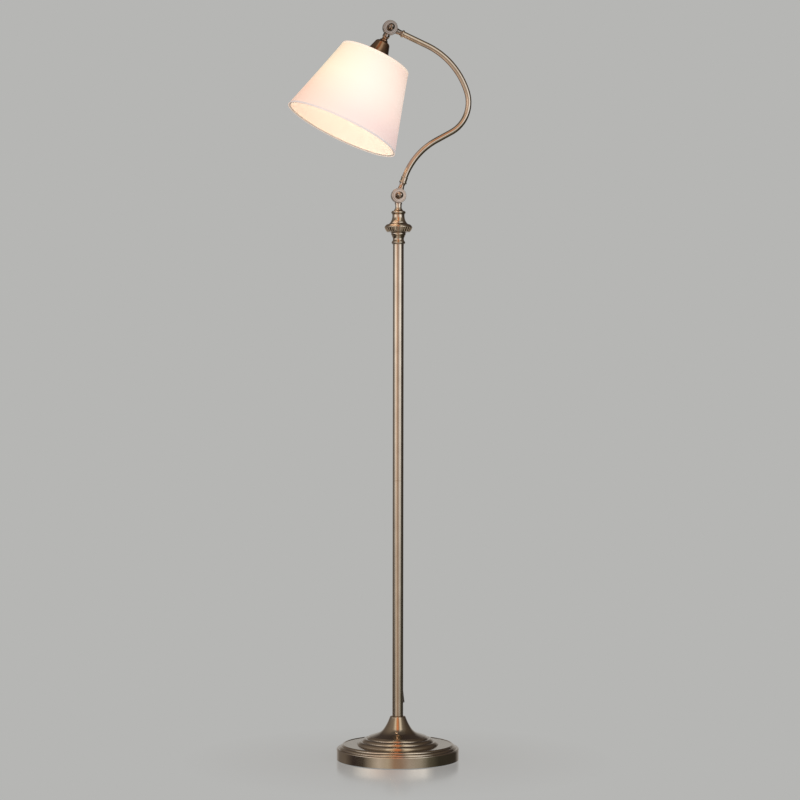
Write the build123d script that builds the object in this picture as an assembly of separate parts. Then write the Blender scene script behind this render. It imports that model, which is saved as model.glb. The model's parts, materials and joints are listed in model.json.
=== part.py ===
from build123d import *
import os
from math import acos, atan2, cos, hypot, radians, sin

# Floor lamp with a two-tube pole, a turned finial stack, an S-curved arm between
# two clamp knuckles, and an empire shade.  Millimetres.  The origin is the centre
# of the base on the floor, +Z up.  The arm lies in the XZ plane: its belly is on
# the +X side and the shade hangs over -X.  -Y is the front, where the knobs are.

# ---- fits ---------------------------------------------------------------------
FIT = 0.05  # radial gap of spigots, threads and pressed pieces
RUN = 0.08  # radial gap of a bore that turns on its bolt
SLIDE = 0.05  # axial gap between faces that slide on each other
WIRE_GAP = 0.4  # radial gap round a wire in its bore

# ---- tubes --------------------------------------------------------------------
POLE_R = 11.0
POLE_WALL = 1.0
ARM_R = 6.0
ARM_WALL = 1.0
STEM_R = ARM_R - ARM_WALL - FIT  # spigots in the arm's ends, the vase and the cup

# ---- base ---------------------------------------------------------------------
BASE_R = 124.0
BASE_RIM_LIFT = 1.0  # cover rim above the floor
BASE_WALL_TOP = 23.5
BASE_EDGE = 2.5
BASE_TOP = 88.0  # seat of the pole
COVER_WALL = 1.2
COVE_Z = 30.6  # flat band between the ridges
COVE_INNER_R = 82.5
NECK_STEP = 5.2  # neck's radius past the pole's
NECK_SEAT_STEP = 1.4
NECK_SHOULDER = 3.0
FLARE_LEAN = 20.0  # flare's slope at its top, from the vertical
FLARE_1_R = 100.0
FLARE_1_TURN = 14.0
FLARE_2_R = 28.0
FLARE_2_TURN = 38.0
FLARE_FOOT_R = 57.0
# ridges outside the cove, as (inset from the rim, height)
RIDGE_GROOVE = (5.4, 23.5)
RIDGE_A = (6.9, 26.7, 10.6, 27.7)
RIDGE_B = (12.3, 31.0, 16.6, 30.6)
# ridges inside the cove, as (offset from the cove's inner edge, height)
RIDGE_C = (-2.6, 34.8, -10.2, 36.6)
RIDGE_D = (-12.0, 40.4, -20.6, 42.0)
RIDGE_E = (-22.0, 45.2, -24.6, 46.4)

PAD_THICK = 2.2
PAD_INSET = 6.0
WEIGHT_TOP = 17.0
WEIGHT_GAP = 0.6
WEIGHT_RIB_INSET = (5.5, 6.4)  # from the cove's inner and outer edges
WEIGHT_POCKET_R = 13.0
WEIGHT_POCKET_TOP = 11.0

STUD_R = 5.0
STUD_BORE_R = 3.0
STUD_FOOT = 2.8
WASHER_R = 10.5
WASHER_THICK = 1.6
LOCK_WASHER_R = 8.8
LOCK_WASHER_THICK = 2.0
LOCK_WASHER_SLOT = 2.0
NUT_FLATS = 16.0
NUT_THICK = 4.0

# ---- pole ---------------------------------------------------------------------
LOWER_POLE_LENGTH = 477.0
UPPER_POLE_LENGTH = 478.5
POLE_END_CHAMFER = 0.4
INSERT_LENGTH = 12.0
STUD_REACH = 11.0  # of a stud's or nipple's end into a plug
JOINT_NIPPLE_LENGTH = 23.0

# ---- mains lead outlet on the lower pole --------------------------------------
OUTLET_AZIMUTH = 34.0
OUTLET_MOUTH_Z = 114.0
OUTLET_MOUTH_REACH = 2.4  # mouth centre outside the pole's surface
OUTLET_MOUTH_R = 4.2
OUTLET_TIP_R = 2.2
OUTLET_LENGTH = 47.0
OUTLET_LEAN = 5.5
OUTLET_KNEE_RISE = 9.0  # wire's bend above the mouth
OUTLET_HOLE_R = 5.2
OUTLET_PLUG_ENDS = 1.0  # plug's ends past the tube's wall, each way

# ---- turned stack, as (radius, height) and (via radius, via height, radius, height)
COLLAR_HEIGHT = 24.5
COLLAR_OUTLINE = (
    (POLE_R + 0.2, 0.0),
    (POLE_R + 0.2, 1.4),
    (POLE_R + 2.9, 4.6, POLE_R + 1.2, 7.8),
    (POLE_R + 0.2, 11.6, POLE_R + 2.2, 17.4),
    (POLE_R + 1.8, 18.2),
    (POLE_R + 3.7, 21.4, POLE_R + 3.4, COLLAR_HEIGHT),
)
KNOP_HEIGHT = 20.0
KNOP_OUTLINE = (
    (15.6, 0.0),
    (16.8, 1.2),
    (23.0, 1.8),
    (25.7, 5.2, 27.5, 8.8),
    (28.3, 11.2, 27.2, 13.6),
    (25.5, 15.8, 23.0, 17.2),
    (21.8, 17.0),
    (19.6, 18.0, 18.0, KNOP_HEIGHT),
)
KNOP_FLUTES = 30
KNOP_FLUTE_R = 1.5
KNOP_FLUTE_START = (22.4, -0.6)
KNOP_FLUTE_END = (29.1, 10.6)
VASE_HEIGHT = 37.9
VASE_OUTLINE = (
    (16.6, 0.0),
    (16.6, 1.2),
    (14.6, 4.6, 12.6, 11.8),
    (12.2, 16.6),
    (13.0, 17.6),
    (12.6, 18.2),
    (14.6, 21.2, 12.2, 24.4),
    (9.2, 25.8, 7.9, 28.8),
    (STEM_R + 1.9, 29.6, STEM_R + 1.6, 31.4),
    (STEM_R + 1.6, VASE_HEIGHT),
)
VASE_SOCKET_DEPTH = 13.6
SPINDLE_TOP = 12.0  # depth of the nipple's hole in the vase
THREAD_END = 1.0  # gap past the end of a nipple or bolt in its hole

# ---- clamp knuckles -----------------------------------------------------------
KNUCKLE_R = 15.0
KNUCKLE_HALF = 6.4  # rim face from the middle plane
RING_STEP = 1.0
RING_1_R = KNUCKLE_R - 2.8
RING_2_R = KNUCKLE_R - 6.8
DISC_EDGE = 1.0
RING_EDGE = 0.6
PAD_RING_THICK = 0.75
PAD_RING = (KNUCKLE_R - 3.7, KNUCKLE_R - 0.3)
POCKET_R = KNUCKLE_R - 4.0
POCKET_FLOOR = 5.4
BOSS_R = 4.4
NECK_RELIEF = 0.6  # gap between a disc and the other half's neck
BOLT_R = 2.5
BOLT_HEAD_R = 5.2
BOLT_HEAD_LENGTH = 4.4
BOLT_HEAD_RIM = 1.0
KNOB_BALL_R = 6.8
KNOB_BALL_REACH = 17.2  # ball centre from the middle plane
KNOB_NECK_R = 3.4
KNOB_COLLAR_R = 4.6
KNOB_COLLAR = 1.2
KNOB_THREAD_DEPTH = 19.5

# neck outlines along the stem, as (distance past the disc's rim, radius past the spigot's)
STAND_NECK = ((-7.0, 0.65), (-0.6, 0.65), (-0.6, 2.55), (2.6, 2.55))
STAND_SPIGOT = 13.2
ARM_NECK = ((-7.0, 1.45), (-1.0, 1.45), (7.0, 0.25), (11.5, ARM_WALL + FIT))
ARM_SPIGOT = 8.0
HEAD_NECK = ((-7.0, 0.85), (-0.2, 0.85), (1.0, 2.25), (6.0, 2.25), (7.0, 1.25))
HEAD_SPIGOT = 22.0
STAND_NECK_END = KNUCKLE_R + STAND_NECK[-1][0]
ARM_NECK_END = KNUCKLE_R + ARM_NECK[-1][0]
HEAD_NECK_END = KNUCKLE_R + HEAD_NECK[-1][0]

# ---- wire ---------------------------------------------------------------------
WIRE_R = 2.0
WIRE_OFFSET = 3.1  # from the middle plane, inside a knuckle half
WIRE_POCKET_END = 7.0
WIRE_BEND_OUT = KNUCKLE_R - 2.0
WIRE_BEND_IN = KNUCKLE_R + 6.0
WIRE_BEND_R = 12.0
WIRE_OUTLET_BEND_R = 12.0
HEAD_WIRE_STOP = 2.0  # wire's end above the holder's base

# ---- arm: straight runs and bends, leans measured from the vertical towards +X --
ARM_LEAN_1 = 18.8
ARM_LEAN_2 = 60.7
ARM_LEAN_3 = -18.1
ARM_LEAN_4 = -66.5
ARM_RUN_1 = 36.0
ARM_RUN_2 = 35.9
ARM_RUN_3 = 83.8
ARM_BEND_1_R = 145.4
ARM_BEND_2_R = 70.8
ARM_BEND_3_R = 150.7
FERRULE_R = ARM_R + 1.75
FERRULE_LENGTH = 4.0
FERRULE_EDGE = 1.2
SLEEVE_R = ARM_R + 0.7
SLEEVE_LENGTH = 13.5
SLEEVE_BEAD_R = ARM_R + 1.1
SLEEVE_BEAD_LENGTH = 2.0

# ---- head, heights measured down the shade's axis; the knuckle's neck ends at NECK_FOOT
HEAD_TILT = 25.4
NECK_FOOT = 22.0
SPOOL_END = 31.4
SPOOL_OUTLINE = (
    (STEM_R + 1.25, NECK_FOOT),
    (STEM_R + 0.85, 25.2, STEM_R + 2.45, 27.8),
    (STEM_R + 3.55, 28.4),
    (STEM_R + 3.55, 30.2),
    (STEM_R + 2.65, SPOOL_END),
)
HOLDER_BODY_R = 19.5
CUP_END = 60.0
CUP_OUTLINE = (
    (STEM_R + 4.65, SPOOL_END),
    (13.6, 33.2, 16.0, 37.4),
    (HOLDER_BODY_R - 1.1, 44.6),
    (HOLDER_BODY_R + 1.5, 52.2, HOLDER_BODY_R + 4.7, CUP_END),
)
CUP_WALL = 1.0

HOLDER_CAP_TOP = SPOOL_END + CUP_WALL
HOLDER_CAP_END = 58.0
HOLDER_CAP_BEND = 50.0
HOLDER_CAP_OUTLINE = (
    (STEM_R + 3.55, HOLDER_CAP_TOP),
    (14.4, 39.0),
    (HOLDER_BODY_R - 3.1, 45.0),
    (HOLDER_BODY_R - 2.5, HOLDER_CAP_BEND),
    (HOLDER_BODY_R - 2.5, HOLDER_CAP_END),
)
HOLDER_CAP_WALL = 1.8
HOLDER_CAP_CAVITY_TOP = 44.5
HOLDER_BODY_END = 96.0
HOLDER_BODY_WALL = 2.6
HOLDER_SHOULDER_R = HOLDER_BODY_R + 3.0
HOLDER_SHOULDER = (70.0, 78.0)
HOLDER_BASE_END = 64.0
SCREW_SHELL_GAP = 0.8  # round the bulb's cap
SCREW_SHELL_WALL = 0.5
SCREW_SHELL_END = 91.0
CONTACT_LEAF = (10.0, 3.0, 1.4)
SHADE_NUT_R = HOLDER_BODY_R + 5.0
SHADE_NUT_LENGTH = 9.0
SHADE_NUT_GRIPS = 24
SHADE_NUT_GRIP_R = 0.8

SHADE_TOP = 68.8
SHADE_TOP_R = 73.0
SHADE_BOTTOM = 232.0
SHADE_BOTTOM_R = 119.0
SHADE_WALL = 0.7
TRIM_THICK = 0.4
TRIM_TOP_WIDTH = 5.0
TRIM_BOTTOM_WIDTH = 4.0
HOOP_R = 1.5
HOOP_GAP = 0.1
TOP_HOOP_INSET = 2.4
BOTTOM_HOOP_INSET = 2.2
FITTER_R = HOLDER_BODY_R + 7.5
FITTER_THICK = 1.5
FITTER_SPOKES = 3
FITTER_SPOKE_R = 1.5
FITTER_SPOKE_ROOT = 1.5  # spoke's start, in from the ring's rim

BULB_GLOBE_R = 30.0
BULB_FOOT_R = 14.4  # glass at the cap's rim
BALL_STOPS = (100.0, 130.0, 155.0)  # points on the ball, as angles from the cap
BULB_GLASS = 0.8
BULB_CAP_R = 13.1
BULB_CAP_WALL = 0.5
BULB_CAP_TOP = 70.0
BULB_CAP_END = 93.0
BULB_COLLAR_R = 15.2
BULB_COLLAR = 2.0
BULB_CENTRE_DROP = 1.6  # ball's centre below the cap's rim, in ball radii
BULB_TIP_R = 4.6
BULB_TIP_THICK = 1.0
BULB_INSULATOR_LENGTH = 3.4
INSULATOR_INSET = 1.0

# ---- worked out from the above --------------------------------------------------
NECK_R = POLE_R + NECK_STEP
NECK_SEAT_R = POLE_R + NECK_SEAT_STEP
SCREW_SHELL_R = BULB_CAP_R + SCREW_SHELL_GAP + SCREW_SHELL_WALL
BULB_CENTRE = BULB_CAP_END + BULB_CENTRE_DROP * BULB_GLOBE_R
TUBE_BORE_R = POLE_R - POLE_WALL
SEAM_Z = BASE_TOP + LOWER_POLE_LENGTH
POLE_TOP = SEAM_Z + UPPER_POLE_LENGTH
KNOP_Z = POLE_TOP + COLLAR_HEIGHT
VASE_Z = KNOP_Z + KNOP_HEIGHT
VASE_TOP = VASE_Z + VASE_HEIGHT
MATE = (PAD_RING_THICK + SLIDE) / 2
KNUCKLE_FACE = KNUCKLE_HALF + 2 * RING_STEP
WIRE_BORE_R = WIRE_R + WIRE_GAP
DIAGONAL = 1 - cos(radians(45))

FRONT = Vector(0, -1, 0)
DOWN = Vector(0, 0, -1)
LOWER_PIVOT = Vector(0, 0, VASE_TOP + STAND_NECK_END)


def lean(angle):
    """Unit vector in the arm's plane, turned from straight up towards +X."""
    return Vector(sin(radians(angle)), 0, cos(radians(angle)))


# ---- shape helpers --------------------------------------------------------------
def outline_edges(points):
    """Lines through points; a point with four values is reached on an arc through the first two."""
    edges = []
    for before, point in zip(points, points[1:]):
        start = before[-2:]
        if len(point) == 4:
            edges.append(ThreePointArc(start, point[:2], point[2:]))
        else:
            edges.append(Line(start, point))
    return edges


def outline_face(*points):
    """Closed face through the points of an outline."""
    return make_face(outline_edges(points + points[:1]))


def spun(face):
    """Solid made by turning a face of (radius, height) about Z."""
    return revolve(Plane.XZ * face, Axis.Z)


def turned(*points):
    """Turned solid whose outline is given point by point."""
    return spun(outline_face(*points))


def drilled(outline, bore):
    """Turned solid with a straight hole of radius bore down its whole length."""
    return turned(*outline, (bore, outline[-1][-1]), (bore, outline[0][-1]))


def tube(outer, inner, bottom, top):
    """Straight ring or tube."""
    return turned((inner, bottom), (outer, bottom), (outer, top), (inner, top))


def rod(radius, bottom, top):
    """Straight round bar."""
    return tube(radius, 0, bottom, top)


def rounded(radius, height, edge):
    """Outline points that round the corner at (radius, height) of a top face."""
    cut = DIAGONAL * edge
    return ((radius, height - edge), (radius - cut, height - cut, radius - edge, height))


def inset_cavity(face, wall):
    """Turned cavity that leaves a wall of even thickness inside a turned face."""
    whole = face + mirror(face, about=Plane.YZ)
    inner = offset(whole, amount=-wall, kind=Kind.ARC)
    reach = whole.bounding_box().diagonal
    right = Pos(reach / 2, 0) * Rectangle(reach, 2 * reach)
    return spun(inner & right)


def swept(radius, path):
    """Round bar along a path of lines and tangent arcs."""
    start = Plane(origin=path @ 0, z_dir=path % 0)
    return sweep(start * Circle(radius), path=path)


def along(origin, direction):
    """Frame whose Z runs down a stem or axis that lies in the arm's plane."""
    return Plane(origin=origin, x_dir=FRONT, z_dir=direction)


def hinge_frame(pivot, direction):
    """Frame of a knuckle: X along its stem, Z along its hinge axis to the front."""
    return Plane(origin=pivot, x_dir=direction, z_dir=FRONT)


# ---- the arm's line ---------------------------------------------------------------
def arm_edges(start, stop):
    """Lines and arcs of the arm, from start past the lower pivot to stop before the upper."""
    leans = (ARM_LEAN_1, ARM_LEAN_2, ARM_LEAN_3, ARM_LEAN_4)
    ways = [Vector(sin(radians(a)), cos(radians(a)), 0) for a in leans]
    run_1 = Line(ways[0] * start, ways[0] * ARM_RUN_1)
    bend_1 = JernArc(run_1 @ 1, ways[0], ARM_BEND_1_R, ARM_LEAN_1 - ARM_LEAN_2)
    run_2 = Line(bend_1 @ 1, bend_1 @ 1 + ways[1] * ARM_RUN_2)
    bend_2 = JernArc(run_2 @ 1, ways[1], ARM_BEND_2_R, ARM_LEAN_2 - ARM_LEAN_3)
    bend_3 = JernArc(bend_2 @ 1, ways[2], ARM_BEND_3_R, ARM_LEAN_3 - ARM_LEAN_4)
    run_3 = Line(bend_3 @ 1, bend_3 @ 1 + ways[3] * (ARM_RUN_3 - stop))
    plane = Plane(origin=LOWER_PIVOT, x_dir=(1, 0, 0), z_dir=FRONT)
    return [plane * edge for edge in (run_1, bend_1, run_2, bend_2, bend_3, run_3)]


UPPER_PIVOT = arm_edges(0, 0)[-1] @ 1
ARM_FOOT_WAY = lean(ARM_LEAN_1)
ARM_HEAD_WAY = -lean(ARM_LEAN_4)
HEAD_WAY = -lean(HEAD_TILT)
HEAD = along(UPPER_PIVOT + HEAD_WAY * (HEAD_NECK_END - NECK_FOOT), HEAD_WAY)


# ---- base -------------------------------------------------------------------------
def base_face(foot):
    """Half section of the base's outer surface, closed along the axis."""
    ridge_rim = (BASE_R - RIDGE_GROOVE[0], RIDGE_GROOVE[1])
    ridges = [(BASE_R - r[0], r[1], BASE_R - r[2], r[3]) for r in (RIDGE_A, RIDGE_B)]
    ridges.append((COVE_INNER_R, COVE_Z))
    ridges += [(COVE_INNER_R + r[0], r[1], COVE_INNER_R + r[2], r[3]) for r in (RIDGE_C, RIDGE_D, RIDGE_E)]
    rim = ((0, foot), (BASE_R, foot), *rounded(BASE_R, BASE_WALL_TOP, BASE_EDGE), ridge_rim)
    edges = outline_edges(rim + tuple(ridges))
    start_way = (sin(radians(FLARE_LEAN)), -cos(radians(FLARE_LEAN)))
    neck = JernArc((NECK_R, BASE_TOP - NECK_SHOULDER), start_way, FLARE_1_R, FLARE_1_TURN)
    flare = JernArc(neck @ 1, neck % 1, FLARE_2_R, FLARE_2_TURN)
    slope = flare % 1
    reach = (FLARE_FOOT_R - (flare @ 1).X) / slope.X
    skirt = Line(flare @ 1, flare @ 1 + slope * reach)
    last = ridges[-1][-2:]
    seat = (NECK_SEAT_R, BASE_TOP)
    middle = (NECK_R - DIAGONAL * (NECK_R - NECK_SEAT_R), BASE_TOP - DIAGONAL * NECK_SHOULDER)
    edges += [
        Line(last, skirt @ 1),
        skirt,
        flare,
        neck,
        ThreePointArc(neck @ 0, middle, seat),
        Line(seat, (0, BASE_TOP)),
        Line((0, BASE_TOP), (0, foot)),
    ]
    return make_face(edges)


def make_base():
    """Spun cover over a cast weight, on an anti-slip pad, pulled together by a hollow stud."""
    cavity = inset_cavity(base_face(-BASE_TOP), COVER_WALL)
    stud_hole = rod(STUD_R + FIT, 0, BASE_TOP)
    cover = spun(base_face(BASE_RIM_LIFT)) - cavity - stud_hole

    rib_in = COVE_INNER_R + WEIGHT_RIB_INSET[0]
    rib_out = BASE_R - RIDGE_B[2] - WEIGHT_RIB_INSET[1]
    rib_top = COVE_Z - COVER_WALL
    weight_r = BASE_R - COVER_WALL - WEIGHT_GAP
    weight = turned(
        (WEIGHT_POCKET_R, PAD_THICK),
        (weight_r, PAD_THICK),
        *rounded(weight_r, WEIGHT_TOP, BASE_EDGE),
        (rib_out, WEIGHT_TOP),
        (rib_out, rib_top),
        (rib_in, rib_top),
        (rib_in, WEIGHT_TOP),
        (STUD_R + FIT, WEIGHT_TOP),
        (STUD_R + FIT, WEIGHT_POCKET_TOP),
        (WEIGHT_POCKET_R, WEIGHT_POCKET_TOP),
    )

    washer_z = WEIGHT_POCKET_TOP - WASHER_THICK
    lock_z = washer_z - LOCK_WASHER_THICK
    nut_z = lock_z - NUT_THICK
    slot = Box(2 * LOCK_WASHER_R, LOCK_WASHER_SLOT, 2 * LOCK_WASHER_THICK)
    split = Pos(LOCK_WASHER_R, 0, (lock_z + washer_z) / 2) * slot
    hexagon = RegularPolygon(NUT_FLATS / 2, 6, major_radius=False)
    nut = Pos(0, 0, nut_z) * extrude(hexagon, NUT_THICK)
    stud_bore = rod(STUD_R + FIT, 0, BASE_TOP)
    return {
        "base_cover": cover,
        "base_weight": weight,
        "base_pad": rod(BASE_R - PAD_INSET, 0, PAD_THICK),
        "base_stud": tube(STUD_R, STUD_BORE_R, STUD_FOOT, BASE_TOP + STUD_REACH),
        "base_washer": tube(WASHER_R, STUD_R + FIT, washer_z, WEIGHT_POCKET_TOP),
        "base_lock_washer": tube(LOCK_WASHER_R, STUD_R + FIT, lock_z, washer_z) - split,
        "base_nut": nut - stud_bore,
    }


# ---- pole -------------------------------------------------------------------------
def pole_tube(bottom, top):
    """Pole tube with both outer edges broken."""
    return turned(
        (TUBE_BORE_R, bottom),
        (POLE_R - POLE_END_CHAMFER, bottom),
        (POLE_R, bottom + POLE_END_CHAMFER),
        (POLE_R, top - POLE_END_CHAMFER),
        (POLE_R - POLE_END_CHAMFER, top),
        (TUBE_BORE_R, top),
    )


def pole_insert(bottom):
    """Threaded plug pressed into the end of a tube."""
    return tube(TUBE_BORE_R - FIT, STUD_R + FIT, bottom, bottom + INSERT_LENGTH)


def outlet_way():
    """Line of the wire from the pole's axis out through the wall and down to the mouth."""
    mouth = Vector(POLE_R + OUTLET_MOUTH_REACH, 0, OUTLET_MOUTH_Z)
    knee = mouth + Vector(0, 0, OUTLET_KNEE_RISE)
    high = Vector(0, 0, knee.Z + knee.X)
    turn = Rot(0, 0, OUTLET_AZIMUTH)
    return [(turn * Pos(*point)).position for point in (high, knee, mouth)]


def outlet_hood():
    """Teardrop hood on the pole, open downwards, with a plug through the tube's wall."""
    tilt = radians(OUTLET_LEAN)
    mouth = Plane(
        origin=(POLE_R + OUTLET_MOUTH_REACH, 0, OUTLET_MOUTH_Z),
        z_dir=(-sin(tilt), 0, cos(tilt)),
    )
    base = (Align.CENTER, Align.CENTER, Align.MIN)
    cone = mouth * Cone(OUTLET_MOUTH_R, OUTLET_TIP_R, OUTLET_LENGTH, align=base)
    hood = cone - rod(POLE_R, 0, SEAM_Z)
    plug_out = POLE_R + OUTLET_PLUG_ENDS
    plug_in = TUBE_BORE_R - OUTLET_PLUG_ENDS
    plug = outlet_hole(OUTLET_HOLE_R - FIT) & tube(plug_out, plug_in, 0, SEAM_Z)
    turn = Rot(0, 0, OUTLET_AZIMUTH)
    return turn * (hood + plug)


def outlet_hole(radius):
    """Short bar through the tube's wall on the outlet's side, before it is turned there."""
    height = OUTLET_MOUTH_Z + OUTLET_KNEE_RISE + OUTLET_MOUTH_REACH + POLE_WALL / 2
    side = Plane(origin=(POLE_R / 2, 0, height), z_dir=(1, 0, 0))
    base = (Align.CENTER, Align.CENTER, Align.MIN)
    return side * Cylinder(radius, POLE_R / 2 + OUTLET_MOUTH_REACH, align=base)


def make_pole(wire_line):
    """Two tubes butted on a threaded nipple, with the mains lead's outlet low down."""
    hole = Rot(0, 0, OUTLET_AZIMUTH) * outlet_hole(OUTLET_HOLE_R)
    nipple_z = SEAM_Z - JOINT_NIPPLE_LENGTH / 2
    spindle_z = POLE_TOP - STUD_REACH
    return {
        "pole_foot_insert": pole_insert(BASE_TOP),
        "lower_pole": pole_tube(BASE_TOP, SEAM_Z) - hole,
        "cord_outlet": outlet_hood() - swept(WIRE_BORE_R, wire_line),
        "lower_pole_top_insert": pole_insert(SEAM_Z - INSERT_LENGTH),
        "pole_joint_nipple": tube(STUD_R, STUD_BORE_R, nipple_z, nipple_z + JOINT_NIPPLE_LENGTH),
        "upper_pole_bottom_insert": pole_insert(SEAM_Z),
        "upper_pole": pole_tube(SEAM_Z, POLE_TOP),
        "upper_pole_top_insert": pole_insert(POLE_TOP - INSERT_LENGTH),
        "spindle_nipple": tube(STUD_R, STUD_BORE_R, spindle_z, VASE_Z + SPINDLE_TOP - THREAD_END),
    }


# ---- turned stack -------------------------------------------------------------------
def fluted_knop():
    """Flattened knop whose underside is cut with a ring of flutes."""
    blank = drilled(KNOP_OUTLINE, STUD_R + FIT)
    start = Vector(KNOP_FLUTE_START[0], 0, KNOP_FLUTE_START[1])
    end = Vector(KNOP_FLUTE_END[0], 0, KNOP_FLUTE_END[1])
    way = end - start
    base = (Align.CENTER, Align.CENTER, Align.MIN)
    cutter = Plane(origin=start, z_dir=way) * Cylinder(KNOP_FLUTE_R, way.length, align=base)
    flutes = [Rot(0, 0, 360 * i / KNOP_FLUTES) * cutter for i in range(KNOP_FLUTES)]
    return blank - flutes


def make_stack():
    """Collar, fluted knop and vase, threaded on one nipple above the pole."""
    vase = turned(
        *VASE_OUTLINE,
        (STEM_R + FIT, VASE_HEIGHT),
        (STEM_R + FIT, VASE_HEIGHT - VASE_SOCKET_DEPTH),
        (STUD_BORE_R, VASE_HEIGHT - VASE_SOCKET_DEPTH),
        (STUD_BORE_R, SPINDLE_TOP),
        (STUD_R + FIT, SPINDLE_TOP),
        (STUD_R + FIT, 0),
    )
    return {
        "pole_collar": Pos(0, 0, POLE_TOP) * drilled(COLLAR_OUTLINE, STUD_R + FIT),
        "fluted_knop": Pos(0, 0, KNOP_Z) * fluted_knop(),
        "vase": Pos(0, 0, VASE_Z) * vase,
    }


# ---- knuckles -----------------------------------------------------------------------
def stem_wire(side, end):
    """Wire line in a knuckle frame, from the pocket on one side to the stem's middle."""
    shift = side * WIRE_OFFSET
    points = [
        (WIRE_POCKET_END, 0, shift),
        (WIRE_BEND_OUT, 0, shift),
        (WIRE_BEND_IN, 0, 0),
        (end, 0, 0),
    ]
    return FilletPolyline(*points, radius=WIRE_BEND_R)


def knuckle_half(side, neck, spigot):
    """Hollow half of a knuckle, front (side 1) or rear (side -1), its stem along +X."""
    disc = turned(
        (0, MATE),
        (KNUCKLE_R, MATE),
        *rounded(KNUCKLE_R, KNUCKLE_HALF, DISC_EDGE),
        (RING_1_R, KNUCKLE_HALF),
        *rounded(RING_1_R, KNUCKLE_HALF + RING_STEP, RING_EDGE),
        (RING_2_R, KNUCKLE_HALF + RING_STEP),
        *rounded(RING_2_R, KNUCKLE_FACE, RING_EDGE),
        (0, KNUCKLE_FACE),
    )
    profile = [(STEM_R + step, KNUCKLE_R + distance) for distance, step in neck]
    root = profile[0][1]
    neck_end = profile[-1][1]
    stem_end = neck_end + spigot
    stem = turned((0, root), *profile, (STEM_R, neck_end), (STEM_R, stem_end), (0, stem_end))
    half = disc + Rot(0, 90, 0) * stem
    half -= rod(KNUCKLE_R + NECK_RELIEF, -stem_end, MATE)
    half -= tube(POCKET_R, BOSS_R, 0, POCKET_FLOOR)
    bolt_gap = RUN if side > 0 else FIT
    half -= rod(BOLT_R + bolt_gap, 0, stem_end)
    if side < 0:
        half = mirror(half, about=Plane.XY)
    return half - swept(WIRE_BORE_R, stem_wire(side, stem_end))


def clamp_knob():
    """Ball knob that screws on the bolt's front end and bears on the front disc."""
    face = KNUCKLE_FACE + SLIDE
    collar_top = face + KNOB_COLLAR
    rise = (KNOB_BALL_R**2 - KNOB_NECK_R**2) ** 0.5
    ball_foot = KNOB_BALL_REACH - rise
    bore = BOLT_R + RUN
    return turned(
        (bore, face),
        (KNOB_COLLAR_R, face),
        *rounded(KNOB_COLLAR_R, collar_top, RING_EDGE / 2),
        (KNOB_NECK_R, collar_top),
        (KNOB_NECK_R, ball_foot),
        (KNOB_BALL_R, KNOB_BALL_REACH, 0, KNOB_BALL_REACH + KNOB_BALL_R),
        (0, KNOB_THREAD_DEPTH),
        (bore, KNOB_THREAD_DEPTH),
    )


def clamp_bolt():
    """Bolt with a low domed head behind the rear disc."""
    seat = -KNUCKLE_FACE
    crown = seat - BOLT_HEAD_LENGTH
    via = (BOLT_HEAD_R * (1 - DIAGONAL), crown + DIAGONAL * BOLT_HEAD_LENGTH)
    end = KNOB_THREAD_DEPTH - THREAD_END
    return turned(
        (0, crown),
        (*via, BOLT_HEAD_R, seat - BOLT_HEAD_RIM),
        (BOLT_HEAD_R, seat),
        (BOLT_R, seat),
        (BOLT_R, end),
        (0, end),
    )


def knuckle_hardware(prefix, pivot, stem_way):
    """Friction ring, bolt and ball knob of one knuckle."""
    frame = hinge_frame(pivot, stem_way)
    ring = tube(PAD_RING[1], PAD_RING[0], -MATE, PAD_RING_THICK - MATE)
    return {
        prefix + "_friction_ring": frame * ring,
        prefix + "_clamp_bolt": frame * clamp_bolt(),
        prefix + "_clamp_knob": frame * clamp_knob(),
    }


def make_knuckles():
    """Lower knuckle between the stand and the arm, upper one between the arm and the head."""
    stand_half = knuckle_half(-1, STAND_NECK, STAND_SPIGOT)
    foot_half = knuckle_half(1, ARM_NECK, ARM_SPIGOT)
    top_half = knuckle_half(-1, ARM_NECK, ARM_SPIGOT)
    head_half = knuckle_half(1, HEAD_NECK, HEAD_SPIGOT)
    nodes = {
        "lower_knuckle_rear": hinge_frame(LOWER_PIVOT, DOWN) * stand_half,
        "lower_knuckle_front": hinge_frame(LOWER_PIVOT, ARM_FOOT_WAY) * foot_half,
        "upper_knuckle_rear": hinge_frame(UPPER_PIVOT, ARM_HEAD_WAY) * top_half,
        "upper_knuckle_front": hinge_frame(UPPER_PIVOT, HEAD_WAY) * head_half,
    }
    nodes.update(knuckle_hardware("lower", LOWER_PIVOT, DOWN))
    nodes.update(knuckle_hardware("upper", UPPER_PIVOT, ARM_HEAD_WAY))
    return nodes


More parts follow.
